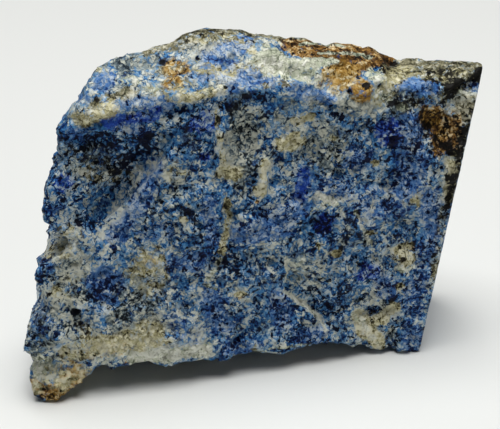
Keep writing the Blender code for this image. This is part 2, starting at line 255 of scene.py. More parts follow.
CREAM = {
    "left patch": Band(LEFT_PATCH, 1.9, 0.8),
    "bevel streaks": Band(((196, 66), (226, 74), (246, 66), (276, 70)), 1.3, 0.6),
    "bevel, low": Band(((262, 86), (292, 84)), 0.8, 0.5),
    "bevel, high": Band(((196, 40), (230, 38), (262, 44)), 1, 0.5),
    "left rim spot": Spot(99, 71, 0.9, 0.7, 0.9),
    "stain surround": Band(((150, 92), (172, 96), (190, 84)), 1.3, 0.5),
    "ridge": Band(((184, 99), (204, 95), (224, 87)), 1, 0.85),
    "rib": Band(((217, 108), (217, 130), (222, 150), (224, 172)), 0.7, 0.7),
    "rib foot": Spot(230, 173, 2.8, 1.7, 0.9),
    "upper middle streak": Band(((294, 122), (312, 118)), 0.9, 0.85),
    "beige patch": Spot(291, 142, 2.9, 2.1, 1, 10),
    "drop, top": Spot(265, 166, 1.1, 1.5, 0.9),
    "drop": Band(((264, 168), (262, 186)), 0.7, 0.8),
    "drop, foot": Spot(262, 190, 1.5, 1.5, 0.95),
    "right of beige": Spot(332, 137, 1.4, 0.8, 0.7),
    "crown cream": Spot(402, 71, 2.8, 1, 0.8),
    "crown cream, left": Band(((252, 52), (262, 58), (275, 66)), 1.2, 0.7),
    "pink by edge": Spot(451, 162, 1.4, 0.8, 1),
    "beige right": Spot(416, 199, 1.5, 1.6, 0.8),
    "beige right, upper": Spot(375, 163, 1.1, 0.8, 0.8),
    "speck": Spot(183, 220, 1, 0.7, 1),
    "speck by scar": Spot(336, 252, 1.2, 0.8, 1),
    "tan by scar": Spot(319, 246, 0.7, 1.1, 0.8),
    "speck over pit": Spot(373, 234, 1.2, 0.7, 0.9, 10),
    "ringed pit": Spot(404, 258, 2.3, 2.3, 0.95),
    "ringed pit, top": Band(((396, 250), (412, 244)), 0.8, 0.8),
    "ring": Spot(400, 287, 0.9, 0.8, 0.9),
    "chip": Band(CHIP, 1.7, 1),
    "chip, right": Band(CHIP_RIGHT, 1.25, 1),
    "beige field": Spot(148, 274, 4.2, 5.2, 0.6),
    "left beige": Spot(72, 233, 3.2, 1.9, 0.6, 10),
    "left beige, lower": Spot(54, 293, 2.6, 1, 0.7),
    "shelf, left": Spot(118, 344, 3.8, 2.8, 0.75, 10),
    "crown speckle": Spot(388, 84, 2.8, 3.4, 0.75),
    "by foot": Band(((70, 354), (84, 348), (100, 343)), 1.8, 0.8),
    "shelf, middle": Spot(150, 345, 4, 1.4, 0.85, 12),
    "toe": Spot(74, 376, 3.4, 1.9, 0.55, 12),
    "foot": Spot(50, 378, 4.2, 3.2, 0.6),
    "toe, pink": Spot(34, 389, 1.2, 1.5, 0.9),
    "left edge": Spot(46, 252, 1.6, 1.6, 0.5),
    "streak": Band(((226, 200), (230, 218), (228, 234), (220, 252)), 0.8, 0.8),
    "cream under vug": Spot(428, 100, 1, 0.9, 0.6),
    "small chip": Spot(240, 293, 1.6, 0.7, 0.8, 10),
    "low edge": Spot(256, 347, 1.4, 1, 0.6),
    "right bevel, low": Spot(376, 101, 2, 1.4, 0.6),
    "corner top": Spot(462, 72, 2.6, 1, 0.5),
    "over slab": Band(((396, 75), (420, 77), (444, 78)), 0.8, 0.6),
    "lower left speckle": Spot(66, 290, 3.6, 3, 0.35),
    "over shelf": Spot(142, 331, 5.2, 2.4, 0.75, 8),
    "by big pit": Spot(80, 330, 3, 1.6, 0.4, 10),
    "under left beige": Spot(62, 252, 3, 2, 0.5),
    "left of rib": Spot(176, 172, 2.4, 2.6, 0.5),
}

PALE = {
    "white band": Band(((266, 50), (276, 58), (292, 62), (332, 62)), 1, 1),
    "white layer": Band(((300, 44), (322, 44), (345, 47)), 0.35, 0.8),
    "white streak": Band(((318, 53), (345, 54), (372, 56)), 0.4, 0.9),
    "crown white": Spot(376, 76, 2, 1.6, 0.8),
    "white on bevel": Band(((268, 72), (290, 75), (316, 76)), 1.4, 0.8),
    "pale under streaks": Spot(256, 60, 2.6, 1.4, 0.6),
    "speck by rim": Spot(202, 48, 0.7, 0.6, 1),
    "left bevel": Spot(130, 81, 2.4, 1, 0.6),
    "left bevel, right": Spot(152, 88, 1.8, 0.9, 0.5),
    "ridge": Band(((205, 94), (216, 90), (226, 84)), 0.6, 0.8),
    "bevel right": Spot(385, 95, 2, 1.6, 0.6),
    "shelf": Band(((134, 360), (150, 357), (176, 354), (206, 350)), 1.45, 1),
    "foot, pale": Spot(38, 366, 2.2, 2.6, 0.75),
    "under shelf": Band(((100, 360), (112, 357), (128, 354)), 0.7, 0.6),
    # A painted highlight on the flake scar's lit lip, in pale grains.
    "scar line": Band(SCAR, 0.45, 1),
    "scar speckle": Spot(304, 264, 2.6, 2.2, 0.45),
    "vein": Band(((222, 262), (212, 270), (204, 283), (215, 287)), 0.6, 0.7),
    "corner glint": Spot(466, 92, 1.6, 1, 0.7, 30),
    "grey grain by vug": Spot(402, 107, 1.4, 0.8, 0.8),
    "low edge line": Band(((252, 351), (290, 348), (310, 344)), 0.4, 0.7),
    "speckle right of scar": Spot(352, 265, 3, 1.5, 0.3),
    "lit grains": Spot(322, 208, 4, 1.2, 0.5, 15),
    "chip": Band(((358, 316), (366, 330), (376, 342)), 0.8, 0.6),
    "ringed pit": Band(((394, 264), (403, 271), (412, 266)), 0.6, 0.7),
    "by stain": Band(((268, 58), (290, 66), (312, 70)), 1.5, 0.7),
    "white by drop": Band(STREAK, 0.7, 1),
    "by foot": Band(((60, 362), (82, 358), (96, 356)), 1, 0.45),
    # A painted highlight on a lit ridge, in pale grains.
    "crescent right of scar": Band(CRESCENT, 0.45, 0.8),
    "crown layer, middle": Spot(326, 55, 3.2, 1.2, -0.8, 8),
}

# Painted shade in hollows, under ledges and beside steps, such as the scoop, the rib's hollow and beside the
# scar's lip, together with darker grains and cracks.
DARK_AND_PAINTED_SHADE = {
    "scoop": Spot(104, 142, 5, 1.8, 0.45, -5),
    "scoop, lower": Band(((146, 148), (136, 164), (118, 172)), 1.8, 1),
    "scoop, left": Spot(75, 150, 3.6, 2.6, 0.4),
    "under ridge": Band(((232, 100), (262, 96)), 1.5, 0.6),
    "hollow right of rib": Spot(236, 128, 1.2, 4, 0.2),
    "by rib, low": Spot(240, 180, 2.2, 2.6, 0.3),
    "left of drop": Spot(254, 178, 0.9, 2.2, 0.9),
    "under drop": Spot(262, 212, 1.8, 1.6, 0.8, 30),
    "corner crack": Band(((449, 95), (460, 84), (482, 73)), 1, 1.1),
    "corner crack, wide": Spot(455, 88, 1.2, 1, 0.8, 40),
    "dark under slab": Spot(404, 102, 4.4, 2.4, 0.3),
    "by crack": Spot(445, 92, 1.8, 1.6, 0.4, 30),
    "speckle under crown": Spot(396, 100, 3, 1.8, 0.4),
    "vug": Spot(440, 126, 3, 2.4, 0.35, 20),
    "notch": Spot(467, 134, 1.8, 2.4, 0.9, 20),
    "right edge": Band(((462, 140), (454, 180), (446, 214)), 1, 0.7),
    "in blue": Spot(394, 136, 0.8, 1.8, 0.5, 10),
    "navy by scar": Spot(324, 226, 2.4, 2.6, 0.7),
    "over scar": Band(((314, 212), (300, 228), (289, 244)), 0.8, 0.8),
    "by scar line": Band(((282, 258), (283, 290), (290, 303), (305, 313), (315, 323)), 0.5, 0.9),
    "under pale streak": Spot(355, 215, 1.6, 2.4, 0.7),
    "middle shade": Spot(230, 262, 4, 2.6, 0.35),
    "left of lit band": Spot(98, 222, 1.6, 2.2, 0.8, 30),
    "left patch": Spot(47, 272, 1.8, 2.2, 0.7),
    "lobe": Spot(36, 342, 1.4, 2.4, 0.2),
    "lobe, upper": Spot(46, 322, 2, 1.4, 0.2),
    "olive shade": Spot(85, 344, 2.6, 1.6, 0.3, 10),
    "toe": Spot(52, 388, 2, 1.4, 0.5),
    "low middle": Spot(216, 312, 3, 3.4, 0.5),
    "right of scar": Spot(330, 300, 3.4, 2.4, 0.5, 30),
    "over chip": Band(((374, 312), (388, 304), (396, 297)), 0.6, 0.6),
    "between blues": Spot(288, 315, 2.6, 2.4, 0.4),
    "lower left rim": Spot(93, 299, 0.9, 1.2, 0.7),
    "left face": Spot(88, 165, 7, 4.5, 0.25, -20),
    "right panel": Spot(412, 160, 4.5, 8, 0.25),
    "right panel, left": Spot(357, 160, 3.2, 3.2, 0.1),
    "left of brow": Band(((146, 160), (128, 180), (108, 204), (98, 228)), 0.7, 0.5),
    "crack right of rib": Band(((229, 108), (235, 130), (241, 150)), 0.4, 0.8),
    "mid dark": Spot(195, 245, 3.4, 3, 0.4),
    "crown seam": Band(((384, 62), (396, 65)), 0.6, 0.9),
    "vug, low": Spot(448, 146, 1.4, 1.4, 0.8),
    "lobe, slate": Spot(42, 330, 2.6, 5, 0.3),
    "hanging stain": Spot(340, 78, 2.6, 1.6, 0.4, 20),
    "by crescent": Band(((350, 213), (357, 230), (366, 248)), 0.5, 0.6),
    "inside chip": Spot(388, 331, 1.4, 1.2, 0.3),
    "over slab": Band(((388, 70), (404, 76)), 0.8, 0.5),
    "lower left blue": Spot(104, 289, 2.8, 2.8, 0.5),
    "lower left, slate": Spot(72, 300, 4, 2.6, 0.3, 10),
    "corner of blue": Spot(92, 298, 1.2, 1.4, 0.6),
    "over left beige": Spot(66, 207, 3, 1.4, 0.15),
    "under right bevel": Spot(330, 117, 2.4, 1.3, 0.5),
    "by left beige": Spot(84, 223, 3.2, 1.7, 0.45, -25),
    "bevel, low left": Spot(106, 98, 2.6, 1.1, 0.35, -10),
}

# Painted light on lit lips, ridges, ledges and upward faces, such as the lit band, the scar line and the bevel,
# together with paler grains.
LIGHT_AND_PAINTED_LIGHT = {
    "lit band": Band(((158, 166), (138, 188), (118, 212), (107, 236)), 1.6, 0.85),
    "steel field": Band(((168, 316), (196, 330)), 2.4, 0.7),
    "under scar": Band(((294, 305), (312, 322)), 1.8, 0.8),
    "over chip": Spot(366, 304, 3.6, 2, 0.5),
    "light blue band": Band(((108, 108), (130, 102), (160, 99)), 1.3, 0.8),
    "left bevel": Band(((92, 104), (130, 84), (196, 70)), 5, 0.45),
    "bevel": Band(((225, 64), (290, 74), (335, 80)), 4, 0.55),
    "right bevel": Spot(385, 85, 5, 2.6, 0.3),
    "under rim": Band(((185, 55), (230, 42), (270, 42)), 1.8, 0.4),
    "upper middle": Spot(290, 125, 9, 5, 0.35),
    "lower left": Spot(70, 275, 7, 9, 0.5),
    "foot": Spot(46, 372, 5.5, 3.8, 0.8),
    "lobe": Spot(46, 326, 4.4, 5.5, 0.35),
    "right top": Band(((392, 62), (476, 64)), 1.2, 0.3),
    "pink by edge": Spot(451, 162, 1.6, 1, 0.9),
    "crown speckle": Spot(388, 84, 2.6, 3.4, 0.4),
    "chip": Band(CHIP, 1.5, 1),
    "scar line": Band(SCAR, 0.65, 1.4),
    "drop": Band(((265, 162), (262, 192)), 1.2, 1.1),
    "drop, foot": Spot(262, 190, 1.5, 1.5, 0.8),
    "mid left": Spot(160, 230, 7, 6, 0.15),
    "low middle": Spot(212, 315, 6, 6, 0.3),
    "front": Spot(290, 230, 22, 20, 0.2),
    "ringed pit": Spot(404, 258, 2.6, 2.6, 0.5),
    "shelf": Band(((96, 352), (150, 352), (206, 350)), 2, 0.95),
    "beige field": Spot(148, 272, 4, 5, 0.35),
    "grey rib": Spot(240, 145, 3.6, 7, 0.7),
    "centre": Spot(270, 225, 7, 5, 0.3),
    "inside scar": Spot(306, 272, 3.6, 3, 0.4),
    "bright right edge": Band(((424, 300), (416, 345)), 0.8, 0.4),
    "right panel": Spot(425, 185, 3, 6, 0.3),
    "corner": Spot(468, 104, 2.2, 4.4, 0.9),
    "left patch": Band(LEFT_PATCH, 1.8, 0.7),
    "ridge": Band(((178, 101), (204, 97), (224, 90)), 1, 0.9),
    "right bevel, low": Band(((342, 100), (362, 107), (376, 108)), 1.6, 0.8),
    "rib foot": Spot(231, 173, 2.6, 1.8, 0.8),
    "toe": Spot(74, 375, 3.2, 1.8, 1, 12),
    "by foot": Band(((62, 352), (84, 346), (110, 343)), 2.4, 0.7),
    "beige patch": Spot(291, 142, 2.6, 1.8, 0.5, 10),
    "speck": Spot(183, 220, 0.9, 0.6, 0.9),
    "white by drop": Band(STREAK, 0.7, 1),
    "corner top": Spot(462, 72, 2.6, 1, 0.4),
    "left face": Spot(88, 180, 8, 7, 0.15),
    "low left": Spot(120, 250, 7, 6, 0.2),
    "crescent right of scar": Band(CRESCENT, 0.6, 0.8),
    "chip, right": Band(CHIP_RIGHT, 1.1, 0.9),
    "white over scar": Band(((316, 208), (302, 226), (292, 240)), 0.35, 0.7),
    "over shelf": Spot(142, 330, 5.4, 2.6, 0.7, 8),
    "by big pit": Spot(76, 328, 4, 2.2, 0.6, 10),
    "under left beige": Spot(58, 250, 3.4, 2.2, 0.5),
    "left of rib": Spot(176, 172, 2.8, 2.8, 0.6),
    "left shoulder": Spot(126, 66, 4, 1.8, 0.5, 15),
    "blue slab": Band(((398, 88), (436, 91)), 1.6, 0.25),
    "under scoop": Spot(104, 204, 3.4, 2.2, 0.6, -35),
    "centre, low left": Spot(238, 227, 2.6, 2.8, 0.45),
    "right panel, low": Spot(390, 262, 2.4, 2, 0.4),
    "left edge, middle": Spot(50, 205, 1.4, 1.8, 0.5),
    "under brow, middle": Band(((268, 96), (300, 97)), 1.1, 0.5),
    "low left of centre": Spot(176, 294, 2.2, 2, 0.4),
}

CALM = {
    "bevel": Band(((76, 118), (110, 90), (160, 70), (230, 62), (300, 76), (352, 86)), 7, 0.8),
    "right bevel": Band(((352, 86), (400, 92)), 4, 0.6),
    "shelf": Band(((100, 350), (140, 350), (206, 350)), 2.6, 0.5),
    "foot": Spot(56, 374, 6, 3, 0.65, 10),
    "right top": Band(((384, 62), (476, 64)), 1.6, 0.9),
    "blue slab": Band(((402, 86), (432, 88)), 1.2, 0.9),
    "beige patch": Spot(291, 142, 2.6, 1.9, 0.5, 10),
    "ultramarine drop": Band(DROP, 1.1, 0.8),
    "drop": Band(((265, 164), (262, 190)), 1, 0.6),
    "ultramarine band": Band(BROW, 1.4, 0.5),
    "steel field": Band(STEEL, 2.2, 0.55),
    "speckle under slab": Spot(402, 104, 3.2, 1.8, -0.4),
    "vug": Spot(438, 122, 4.5, 4.5, -0.5),
    "blue over scar": Spot(262, 230, 4, 2.2, 0.4, 10),
}


class Mineral(NamedTuple):
    """A mineral's patches in the photograph, and those out of sight: how large they are there, where they fall,
    how common they are and how strong."""

    patches: dict
    wavelength: float
    seed: float
    bias: float
    share: float


# Where the stone has several minerals, the later one shows.
MINERALS = {
    "vivid": Mineral(VIVID, 11, 31, -0.05, 0.8),
    "deep": Mineral(DEEP, 6, 37, -0.3, 0.8),
    "grey": Mineral(GREY, 9, 47, -0.02, 0.6),
    "olive": Mineral(OLIVE, 14, 53, -0.2, 0.7),
    "rust": Mineral(RUST, 12, 61, -0.35, 0.8),
    "ochre": Mineral(OCHRE, 6, 67, -0.42, 0.8),
    "cream": Mineral(CREAM, 5, 71, -0.25, 0.7),
    "pale": Mineral(PALE, 8, 79, -0.3, 0.8),
    # These two carry painted shade and painted light, along with darker and lighter grains.
    "dark": Mineral(DARK_AND_PAINTED_SHADE, 4, 83, -0.15, 0.5),
    "light": Mineral(LIGHT_AND_PAINTED_LIGHT, 7, 89, -0.15, 0.5),
    "calm": Mineral(CALM, 13, 97, 0.0, 0.6),
}
SPREAD_EDGE = 0.3

# The foot's calcite goes on round its underside: an oval body of it, as middle, half sizes and parts.
CALCITE_AT = np.array((-24.0, -14.0, 1.0))
CALCITE_RADII = np.array((20.0, 14.0, 6.0))
CALCITE_PARTS = {"cream": 0.85, "pale": 0.6}

# How far one thing gives way to another, from 0 to 1.
SEEN_OVER_SPREAD = 0.7
SAWN_OVER_SEEN = 0.85
BLUE_OVER_ROCK = 0.45
SAWN_CALM = 0.45

# How strong dark places and their painted shade are against light places, how strong the painted shade round
# each pit is, and how far it reaches.
DARK_AND_SHADE_WEIGHT = 1.1
PIT_SHADE_WEIGHT = 3.0
PIT_SHADE_REACH = 1.6

# How an edge wanders: layers of a height and a wavelength, and a seed for each way of the picture.
PATCH_WANDER = ((1.1, 4.0), (0.7, 1.4))
PATCH_SEEDS = (3.0, 17.0)
STEP_WANDER = ((0.35, 1.6),)
STEP_SEEDS = (5.0, 29.0)
SMALL_PATCH = 3.0

# What the photograph shows fades where the skin turns from the camera. Minerals go on past that rim.
RIM_FADE = 0.18
RELIEF_PAST_RIM = 0.02
MINERALS_PAST_RIM = 0.4


class Pit(NamedTuple):
    """A small hole: its pixel, and its radius and depth in millimetres."""

    x: float
    y: float
    radius: float
    depth: float


class Step(NamedTuple):
    """A step along a line of pixels, as wide as its wall. Right of the line's run the skin drops, or rises if
    drop is negative, and comes back over fade."""

    line: tuple
    drop: float
    wall: float
    fade: float


class Swell(NamedTuple):
    """A smooth rise over an oval, or a hollow where height is negative."""

    x: float
    y: float
    wide: float
    high: float
    height: float
    turn: float = 0.0


class Nudge(NamedTuple):
    """A shift of all that shows round a pixel: its radius and its way right and down, in millimetres."""

    x: float
    y: float
    radius: float
    right: float
    down: float


PITS = {
    "big pit": Pit(75.5, 312.5, 0.75, 1.3),
    "below it": Pit(81, 323, 0.32, 0.6),
    "beside that": Pit(89, 325, 0.22, 0.4),
    "third in row": Pit(86, 331, 0.22, 0.4),
    "over toe": Pit(68, 356, 0.28, 0.6),
    "left edge": Pit(49, 294, 0.28, 0.5),
    "ridge": Pit(226, 87, 0.35, 0.8),
    "under stain": Pit(139, 96, 0.28, 0.6),
    "stain": Pit(162, 62, 0.35, 0.6),
    "right of stain": Pit(198, 59, 0.35, 0.6),
    "golden spot": Pit(366, 86, 0.5, 0.8),
    "by golden spot": Pit(349, 91, 0.35, 0.6),
    "crown": Pit(393, 64, 0.35, 0.7),
    "crown, left": Pit(386, 71, 0.32, 0.6),
    "crown, low": Pit(380, 86, 0.28, 0.5),
    "ringed pit": Pit(401, 259, 0.4, 0.5),
    "small ring": Pit(400, 288, 0.28, 0.5),
    "lower left": Pit(126, 102, 0.24, 0.4),
    "brown": Pit(451, 154, 0.35, 0.6),
    "low middle": Pit(140, 241, 0.28, 0.5),
}

STEPS = {
    "flake scar": Step(
        ((325, 330), (320, 318), (308, 307), (292, 297), (286, 290), (287, 275), (286, 258)), 1.7, 0.45, 6
    ),
    "over scar": Step(((287, 258), (300, 232), (314, 211), (330, 214)), 1.2, 1, 5),
    "chip": Step(((400, 305), (386, 316), (358, 317), (362, 332), (372, 346)), 0.9, 0.6, 5),
    "brow": Step(((178, 128), (160, 160), (132, 190), (110, 212), (100, 238)), 3, 4.2, 12),
    "brow edge": Step(((158, 156), (143, 172), (124, 192), (109, 214), (102, 236)), 1.2, 0.9, 5),
    "ridge": Step(
        ((226, 88), (212, 95), (196, 100), (172, 101), (150, 106), (110, 114), (76, 126)), -1.1, 0.9, 4
    ),
    "ridge, right": Step(((372, 116), (345, 104), (300, 98), (262, 94), (228, 90)), -0.9, 0.9, 4),
    "shelf": Step(((212, 340), (206, 352), (204, 360)), 0.6, 0.5, 2.5),
    "shelf, top": Step(((208, 346), (180, 341), (150, 335), (126, 328), (96, 340), (66, 352)), -0.8, 0.8, 4),
    "white band": Step(((264, 46), (272, 57), (292, 62), (334, 61), (360, 66)), -0.6, 0.5, 2.5),
    "corner crack": Step(((446, 94), (462, 83), (482, 74)), 1.6, 0.8, 3.5),
    "olive rim": Step(((176, 48), (206, 37), (252, 36), (286, 42)), -0.4, 0.5, 2),
    "under lobe": Step(((28, 358), (44, 362), (62, 350), (80, 338)), 1, 0.9, 4),
    "left brow": Step(((104, 236), (84, 234), (62, 226), (44, 222)), 0.9, 1.6, 6),
    "low centre": Step(((205, 262), (232, 270), (262, 268), (284, 262)), -0.8, 0.9, 6),
    "low left": Step(((92, 268), (120, 262), (142, 280), (150, 310)), 0.9, 1.6, 7),
    "mid right": Step(((420, 176), (392, 186), (356, 190), (330, 206)), 0.8, 1.2, 6),
    "under drop": Step(((232, 214), (256, 216), (278, 206), (300, 200)), -0.9, 1, 6),
    "fracture by rib": Step(((226, 96), (221, 130), (224, 172), (228, 215), (221, 252)), 0.7, 0.6, 4),
    "right of notch": Step(((408, 218), (392, 236), (392, 262), (404, 276)), 0.7, 0.8, 4),
    "crescent right of scar": Step(((372, 248), (363, 230), (353, 208)), 0.9, 0.5, 4),
    "plate under rib": Step(((236, 262), (226, 236), (230, 206)), 0.8, 0.6, 4),
    "plate left of centre": Step(((160, 262), (172, 232), (190, 208), (204, 200)), 0.8, 0.8, 5),
    "plate over chip": Step(((392, 292), (372, 296), (350, 306), (334, 322)), 0.8, 0.7, 5),
}

SWELLS = {
    "rib": Swell(219, 140, 1, 7.5, 1.3, -5),
    "right of rib": Swell(242, 136, 3.6, 7, -0.8, -5),
    "drop": Swell(262, 180, 1.5, 4.2, 1.1, 5),
    "by drop": Swell(250, 184, 1.6, 3.6, -0.8),
    "chip": Swell(378, 326, 3.6, 2.2, 0.5, 20),
    "ring": Swell(402, 258, 2.8, 2.6, 0.8),
    "vug": Swell(436, 122, 4.8, 4, -1.2, 20),
    "vug, low": Swell(444, 146, 2.4, 3.8, -0.8),
    "speckle": Swell(398, 101, 3, 1.8, -0.5),
    "scoop": Swell(134, 160, 4.4, 2.6, -1.4, 40),
    "scoop, upper": Swell(100, 142, 7, 2.2, -1.5, -10),
    "left patch": Swell(45, 277, 1.6, 1.8, -0.4),
    "under drop": Swell(262, 212, 2, 1.6, -0.9),
    "navy by scar": Swell(325, 226, 3, 3, -1),
    "stain": Swell(344, 72, 2.8, 1.8, 0.6),
    "golden spot": Swell(361, 93, 2.6, 2, 0.8),
    "beige patch": Swell(290, 142, 3, 2, 0.7, 10),
    "lobe": Swell(46, 335, 4.5, 5.5, 0.9),
    "lower left": Swell(110, 290, 5, 5, -0.9),
    "centre": Swell(262, 232, 6, 3.6, 0.9),
    "low middle": Swell(216, 315, 4, 4, -0.8),
}

NUDGES = {
    "upper left knob": Nudge(117, 50, 1.5, 0.2, 0.7),
    "left shoulder": Nudge(75, 93, 1.5, 0.5, 0.4),
    "crown layers": Nudge(320, 38, 2, 0, 0.9),
    "crown layers, left end": Nudge(286, 42, 1.2, 0, 0.7),
    "crown layers, right end": Nudge(360, 46, 1.2, 0, 0.7),
    "left edge, upper": Nudge(54, 140, 1.5, 0.6, 0),
    "left edge, middle": Nudge(44, 216, 2.2, -0.5, 0),
    "left notch": Nudge(38, 243, 2.2, 1.8, 0),
    "left edge, lower": Nudge(38, 285, 1.6, -0.6, 0),
    "ridge, left": Nudge(97, 113, 3, 0, 1.2),
    "ridge, middle": Nudge(205, 92, 2.6, 0, 1),
    "ridge, right": Nudge(362, 102, 4, 0, 1.3),
}

# A step dies out over this part of its line at each end.
STEP_ENDS = 0.1
# How sharply a swell's side and a step's slope end, and how far past its radius a pit's lip reaches.
ROUNDING = 1.5
PIT_LIP = 1.25

# Fracture facets: each layer's seed, how far apart they are, and how far at most they step and tilt.
FACETS = ((11, 2.8, 0.28, 0.24), (12, 1.3, 0.16, 0.22), (13, 0.8, 0.08, 0.2))
# Smooth lumps: their heights, their wavelengths, and where in the noise they are taken from.
LUMPS = ((0.14, 1.9, 0.0), (0.3, 5.0, 7.0))
# Near the outline they are lower, so that it keeps its place: the part of them that is left, how far out they
# still reach, and how wide that rim is, by the skin's turn from the camera.
OUTLINE_PART = 0.4
OUTLINE_RISE = 0.12
OUTLINE_WIDTH = 0.5
# Skin that faces up is smoother by this part, from one upward turn on and over a width.
UPWARD_PART = 0.35
UPWARD_START = 0.3
UPWARD_WIDTH = 0.3


def photo_place(points):
    """Where points show in the photograph, in pixels."""
    away = points - EYE
    depth = away @ FORWARD
    across = PHOTO[0] / 2 + PIXELS_ACROSS * (away @ RIGHT) / depth
    down = PHOTO[1] / 2 - PIXELS_ACROSS * (away @ UP) / depth
    return np.stack((across, down), axis=1)


def smoothstep(values):
    values = np.clip(values, 0.0, 1.0)
    return values * values * (3.0 - 2.0 * values)


def soft_inside(reach):
    """1 well inside a shape whose edge is at reach 1, falling to 0 well outside it."""
    return smoothstep(1.5 - reach)


def noise_at(points, wavelength, shift):
    """Smooth noise from about -1 to 1 at each point."""
    shift = Vector((shift, shift, shift))
    return np.array([noise.noise(Vector(point) / wavelength + shift) for point in points])


def wander(points, layers, seeds):
    """Two shifts for each point, right and down, by which the photograph's shapes wander."""
    shifts = [sum(height * noise_at(points, length, seed) for height, length in layers) for seed in seeds]
    return np.stack(shifts, axis=1)


def facets(points, seed, spacing, step, tilt):
    """The height of the tilted plane that belongs to the nearest of a jittered grid of cells."""
    random = np.random.default_rng(seed)
    low = points.min(axis=0) - spacing
    high = points.max(axis=0) + spacing
    grid = np.meshgrid(*(np.arange(start, end, spacing) for start, end in zip(low, high)), indexing="ij")
    centres = np.stack([axis.ravel() for axis in grid], axis=1)
    centres += random.uniform(-0.5, 0.5, centres.shape) * spacing
    steps = random.uniform(-step, step, len(centres))
    tilts = random.uniform(-tilt, tilt, centres.shape)
    tree = kdtree.KDTree(len(centres))
    for index, centre in enumerate(centres):
        tree.insert(Vector(centre), index)
    tree.balance()
    cells = np.array([tree.find(Vector(point))[1] for point in points])
    return steps[cells] + ((points - centres[cells]) * tilts[cells]).sum(axis=1)


def evaluated_mesh(obj):
    graph = bpy.context.evaluated_depsgraph_get()
    graph.update()
    return bpy.data.meshes.new_from_object(obj.evaluated_get(graph), depsgraph=graph)


def put(name, data):
    made = bpy.data.objects.new(name, data)
    bpy.context.scene.collection.objects.link(made)
    return made


def fine_skin():
    """The solid's surface as an even fine mesh, with its large facets eased."""
    mesh = rock.data.copy()
    welded = bmesh.new()
    welded.from_mesh(mesh)
    bmesh.ops.remove_doubles(welded, verts=welded.verts, dist=0.001 * MM)
    welded.to_mesh(mesh)
    welded.free()
    skin = put("stone", mesh)
    remesh = skin.modifiers.new("fine skin", "REMESH")
    remesh.mode = "VOXEL"
    remesh.voxel_size = SKIN_VOXEL * MM
    ease = skin.modifiers.new("ease", "SMOOTH")
    ease.factor = 0.5
    ease.iterations = EASE_ROUNDS
    finished = evaluated_mesh(skin)
    skin.modifiers.clear()
    skin.data = finished
    return skin


def read(mesh):
    """The mesh's points in millimetres, and its normals."""
    points = np.empty(len(mesh.vertices) * 3)
    mesh.vertices.foreach_get("co", points)
    normals = np.array([vertex.normal for vertex in mesh.vertices])
    return points.reshape(-1, 3) / MM, normals


def write(mesh, points):
    mesh.vertices.foreach_set("co", (points * MM).ravel())
    mesh.update()


def distance_to_line(flat, line):
    """Distance to a line of points, positive to the right of its run, and the share of its length passed."""
    nearest = np.full(len(flat), np.inf)
    signed = np.zeros(len(flat))
    passed = np.zeros(len(flat))
    corners = [np.array(corner) for corner in line]
    for index, (start, end) in enumerate(zip(corners, corners[1:])):
        run = end - start
        share = np.clip((flat - start) @ run / (run @ run), 0.0, 1.0)
        away = flat - start - share[:, None] * run
        distance = np.hypot(away[:, 0], away[:, 1])
        side = np.sign(away[:, 1] * run[0] - away[:, 0] * run[1])
        closer = distance < nearest
        nearest[closer] = distance[closer]
        signed[closer] = (distance * side)[closer]
        passed[closer] = ((index + share) / (len(corners) - 1))[closer]
    return signed, passed


def round_reach(places, shape):
    """How far each place is from a round shape's middle, where 1 is its edge."""
    return np.linalg.norm(places - np.array((shape.x, shape.y)) * PIXEL, axis=1) / shape.radius


def oval_reach(places, shape):
    """How far each place is from an oval's middle, where 1 is its edge."""
    turn = math.radians(shape.turn)
    away = places - np.array((shape.x, shape.y)) * PIXEL
    along = (away[:, 0] * math.cos(turn) - away[:, 1] * math.sin(turn)) / shape.wide
    across = (away[:, 0] * math.sin(turn) + away[:, 1] * math.cos(turn)) / shape.high
    return np.hypot(along, across)


def patch_reach(places, shifts, patch):
    """How far each place is from a patch's middle, where 1 is its edge. Small patches wander less."""
    if isinstance(patch, Band):
        places = places + shifts * min(patch.width / SMALL_PATCH, 1.0)
        return np.abs(distance_to_line(places, np.array(patch.line) * PIXEL)[0]) / patch.width
    return oval_reach(places + shifts * min(patch.wide / SMALL_PATCH, patch.high / SMALL_PATCH, 1.0), patch)


def seen_share(normals, past_rim):
    """1 where the skin faces the photograph's camera, falling to 0 a little past its rim."""
    return smoothstep((normals @ -FORWARD + past_rim) / (RIM_FADE + past_rim))


def sawn_share(points, normals):
    """1 on the saw cut, falling to 0 where the skin leaves its plane or turns out of it."""
    near = 1.0 - smoothstep((SAW_POINT - points) @ SAW_FACING / FLAT_REACH)
    return near * smoothstep((normals @ SAW_FACING - 0.9) / 0.08)


